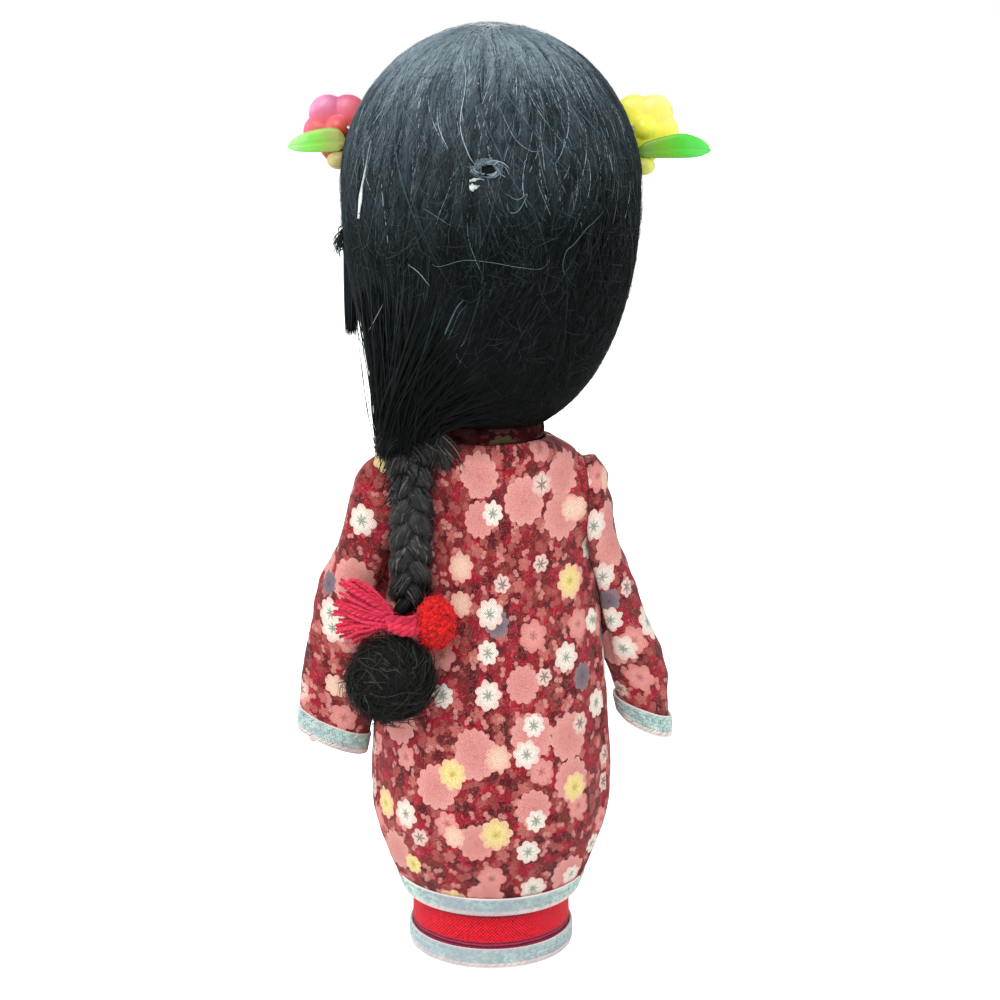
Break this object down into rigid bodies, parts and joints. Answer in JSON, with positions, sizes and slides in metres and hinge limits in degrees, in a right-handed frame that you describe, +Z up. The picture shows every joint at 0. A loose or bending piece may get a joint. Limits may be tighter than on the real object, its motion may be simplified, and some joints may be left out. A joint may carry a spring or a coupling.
{
  "type": "peg doll",
  "caption": "Wooden peg doll in a padded floral robe, with an egg-shaped head, glued-on hair in one side plait and plastic hair flowers.",
  "frame": {"origin": "centre of the flat underside of the peg, on the surface that it stands on", "axes": "+Z up along the peg, -Y the way the doll faces, +X towards its left arm and its plait"},
  "size_m": [0.0854, 0.0564, 0.1898],
  "materials": {
    "beech": "turned beech, plain",
    "painted_wood": "skin-coloured paint under clear lacquer",
    "wadding": "cotton wadding",
    "floral_cotton": "plain-weave cotton with a printed flower pattern",
    "red_ribbon": "woven ribbon",
    "aqua_gimp": "braided gimp trim",
    "black_hair": "synthetic fibre hair",
    "crimson_yarn": "twisted yarn",
    "red_yarn": "clipped yarn",
    "steel_wire": "drawn wire",
    "pink_plastic": "moulded",
    "yellow_plastic": "moulded",
    "lime_plastic": "moulded",
    "green_plastic": "moulded",
    "olive_plastic": "moulded"
  },
  "bodies": {
    "torso": {"peg_body": "beech", "neck_dowel": "beech", "body_padding": "wadding", "underskirt_band": "red_ribbon", "underskirt_trim": "aqua_gimp", "robe_back": "floral_cotton", "robe_front_overlap": "floral_cotton", "robe_front_under": "floral_cotton", "robe_hem_trim": "aqua_gimp", "robe_edge_trim": "aqua_gimp", "collar": "floral_cotton", "shoulder_pin_left": "steel_wire", "shoulder_pin_right": "steel_wire"},
    "head": {"head": "painted_wood", "hair_back": "black_hair", "hair_fringe": "black_hair", "side_lock_left": "black_hair", "side_lock_right": "black_hair", "hair_gather": "black_hair", "ornament_pin_left": "steel_wire", "flower_left": "pink_plastic", "flower_leaf_left": "lime_plastic", "flower_bud_left": "olive_plastic", "ornament_pin_right": "steel_wire", "flower_right": "yellow_plastic", "flower_leaf_right": "green_plastic", "flower_bud_right": "olive_plastic"},
    "plait": {"plait": "black_hair", "plait_tie": "crimson_yarn", "tie_tassel": "crimson_yarn", "tie_pompom": "red_yarn", "plait_tuft": "black_hair"},
    "left_arm": {"arm_left": "beech", "hand_left": "painted_wood", "sleeve_left": "floral_cotton", "cuff_trim_left": "aqua_gimp"},
    "right_arm": {"arm_right": "beech", "hand_right": "painted_wood", "sleeve_right": "floral_cotton", "cuff_trim_right": "aqua_gimp"}
  },
  "joints": [
    {"name": "head_turn", "type": "hinge", "parent": "torso", "child": "head", "pos_m": [0, 0, 0.112], "axis": [0, 0, 1], "range_deg": [-4, 30]},
    {"name": "plait_swing", "type": "hinge", "parent": "head", "child": "plait", "pos_m": [0.0158, 0.01454, 0.103], "axis": [1, 0, 0], "range_deg": [0, 35]},
    {"name": "left_arm_swing", "type": "hinge", "parent": "torso", "child": "left_arm", "pos_m": [0.021, 0, 0.095], "axis": [-1, 0, 0], "range_deg": [0, 60]},
    {"name": "right_arm_swing", "type": "hinge", "parent": "torso", "child": "right_arm", "pos_m": [-0.021, 0, 0.095], "axis": [-1, 0, 0], "range_deg": [0, 60]}
  ]
}
